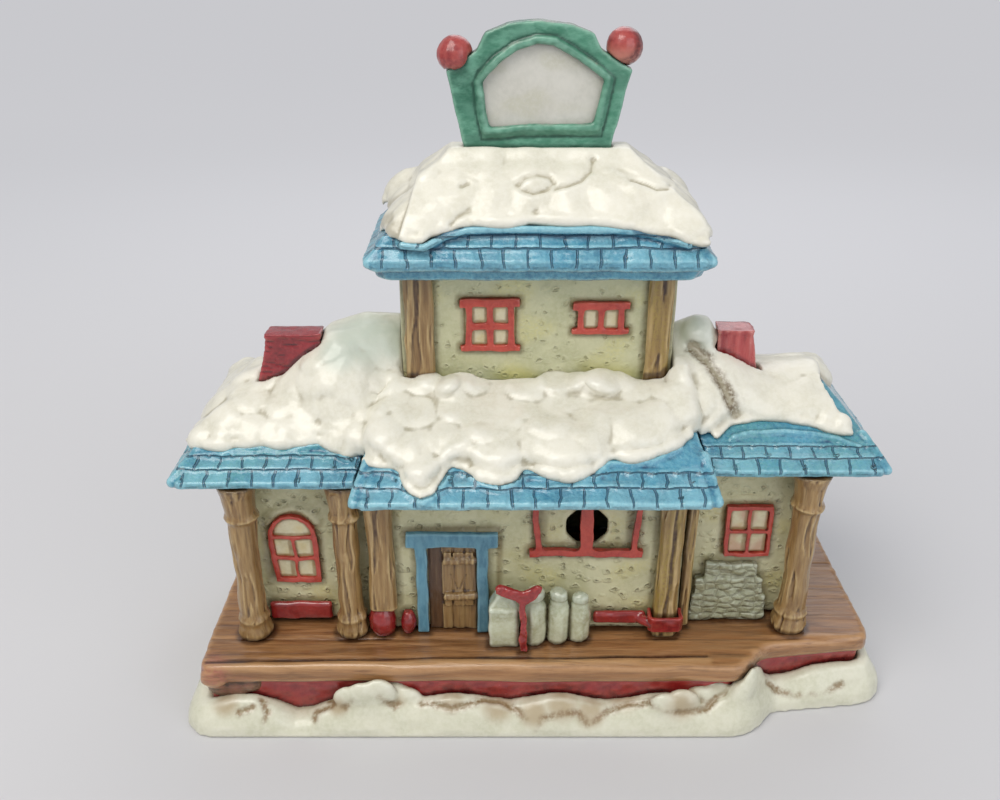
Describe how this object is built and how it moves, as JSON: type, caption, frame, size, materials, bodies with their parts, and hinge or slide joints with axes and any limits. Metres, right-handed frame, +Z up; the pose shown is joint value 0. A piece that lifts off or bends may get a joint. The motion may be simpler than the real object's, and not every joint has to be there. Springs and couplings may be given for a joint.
{
  "type": "christmas village building",
  "caption": "Glazed ceramic village building with snow-covered shingle roofs, a raised tower, a plank deck, a blank arched sign and a clip-in lamp inside.",
  "frame": {"origin": "centre of the bounding box on the surface it stands on", "axes": "+X to the right seen from the front, +Y to the back, +Z up"},
  "size_m": [0.216, 0.09, 0.198],
  "materials": {
    "snow_white": "hand painted, gloss glazed",
    "brick_red": "hand painted, gloss glazed",
    "deck_brown": "hand painted, gloss glazed",
    "plaster_cream": "hand painted, gloss glazed",
    "shingle_blue": "hand painted, gloss glazed",
    "timber_brown": "hand painted, gloss glazed",
    "trim_blue": "hand painted, gloss glazed",
    "paint_red": "hand painted, gloss glazed",
    "can_pale": "hand painted, gloss glazed",
    "sign_green": "hand painted, gloss glazed",
    "sign_pale": "hand painted, gloss glazed",
    "holder_white": "moulded",
    "spring_steel": "plain spring strip",
    "bulb_brass": "rolled thread",
    "bulb_glass": "frosted"
  },
  "bodies": {
    "house": {"snow_skirt": "snow_white", "snow_lower": "snow_white", "snow_upper": "snow_white", "foundation": "brick_red", "chimney_left": "brick_red", "chimney_right": "brick_red", "deck": "deck_brown", "lower_shell": "plaster_cream", "tower_shell": "plaster_cream", "roof_left_wing": "shingle_blue", "roof_bay": "shingle_blue", "roof_right_wing": "shingle_blue", "tower_roof": "shingle_blue", "tower_post_front_left": "timber_brown", "tower_post_front_right": "timber_brown", "tower_post_back_left": "timber_brown", "tower_post_back_right": "timber_brown", "column_left": "timber_brown", "column_door": "timber_brown", "column_right": "timber_brown", "post_door": "timber_brown", "post_bay": "timber_brown", "post_return": "timber_brown", "door": "timber_brown", "door_frame": "trim_blue", "bay_window": "paint_red", "arched_window": "paint_red", "right_window": "paint_red", "tower_window_left": "paint_red", "tower_window_right": "paint_red", "post_foot": "paint_red", "bench_left": "paint_red", "bench_right": "paint_red", "keg_large": "paint_red", "keg_small": "paint_red", "ribbon": "paint_red", "sign_knob_left": "paint_red", "sign_knob_right": "paint_red", "parcel": "can_pale", "sack": "can_pale", "can_left": "can_pale", "can_right": "can_pale", "block_stack": "can_pale", "sign_frame": "sign_green", "sign_panel": "sign_pale"},
    "lamp": {"lamp_holder": "holder_white", "spring_clip_left": "spring_steel", "spring_clip_right": "spring_steel"},
    "bulb": {"bulb_cap": "bulb_brass", "bulb_glass": "bulb_glass"}
  },
  "joints": [
    {"name": "lamp_pull", "type": "slide", "parent": "house", "child": "lamp", "axis": [0, 1, 0], "range_m": [0, 0.06]},
    {"name": "bulb_turn", "type": "hinge", "parent": "lamp", "child": "bulb", "pos_m": [-0.0025, 0, 0.048], "axis": [0, -1, 0], "range_deg": [0, 1080]}
  ]
}
